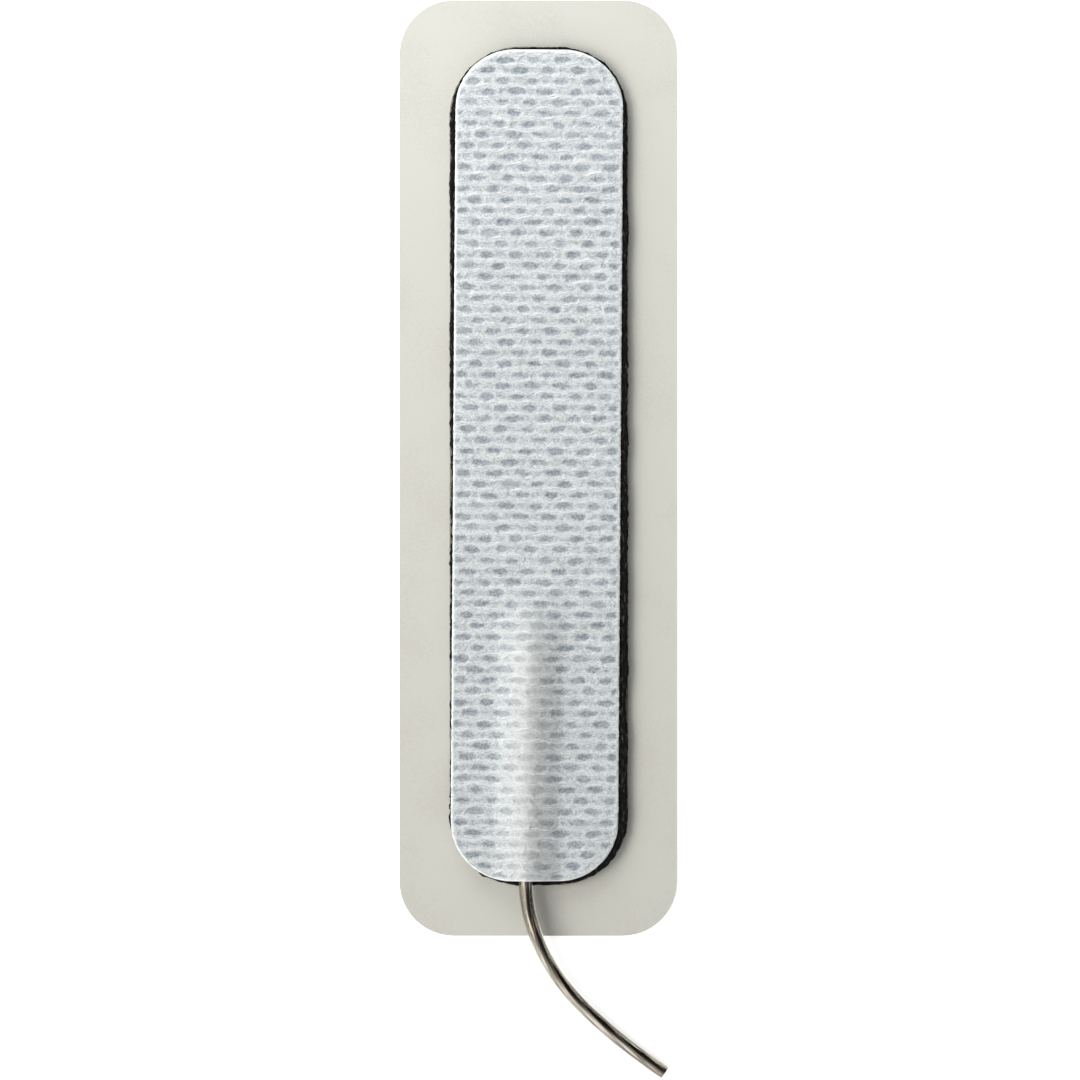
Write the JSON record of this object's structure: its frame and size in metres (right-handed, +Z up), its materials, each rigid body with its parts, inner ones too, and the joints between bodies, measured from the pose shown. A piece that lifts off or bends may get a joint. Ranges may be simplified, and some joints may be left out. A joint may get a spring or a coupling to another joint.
{
  "type": "electrotherapy electrode pad",
  "caption": "Flat adhesive electrode pad with an embossed cloth cover, hydrogel and a bare-ended clear lead, lying on its release liner.",
  "frame": {"origin": "centre of the release liner's underside, on the surface that the pad lies on", "axes": "+Y along the pad, away from the lead; +Z up, out of the cloth side; +X to the right seen from above"},
  "size_m": [0.0398, 0.1541, 0.0038],
  "materials": {
    "liner_film": "satin silicone-coated film",
    "hydrogel": "clear wet gel",
    "carbon_film": "matt carbon-filled film",
    "nonwoven_cloth": "embossed spunlaid cloth",
    "clear_vinyl": "clear glossy vinyl",
    "tinned_wire": "drawn tinned copper"
  },
  "bodies": {
    "root": {"release_liner": "liner_film", "hydrogel_layer": "hydrogel", "conductive_layer": "carbon_film", "cloth_cover": "nonwoven_cloth", "lead_jacket": "clear_vinyl", "conductor_strand_1": "tinned_wire", "conductor_strand_2": "tinned_wire", "conductor_strand_3": "tinned_wire", "conductor_strand_4": "tinned_wire", "conductor_strand_5": "tinned_wire", "conductor_strand_6": "tinned_wire", "conductor_strand_7": "tinned_wire"}
  },
  "joints": []
}
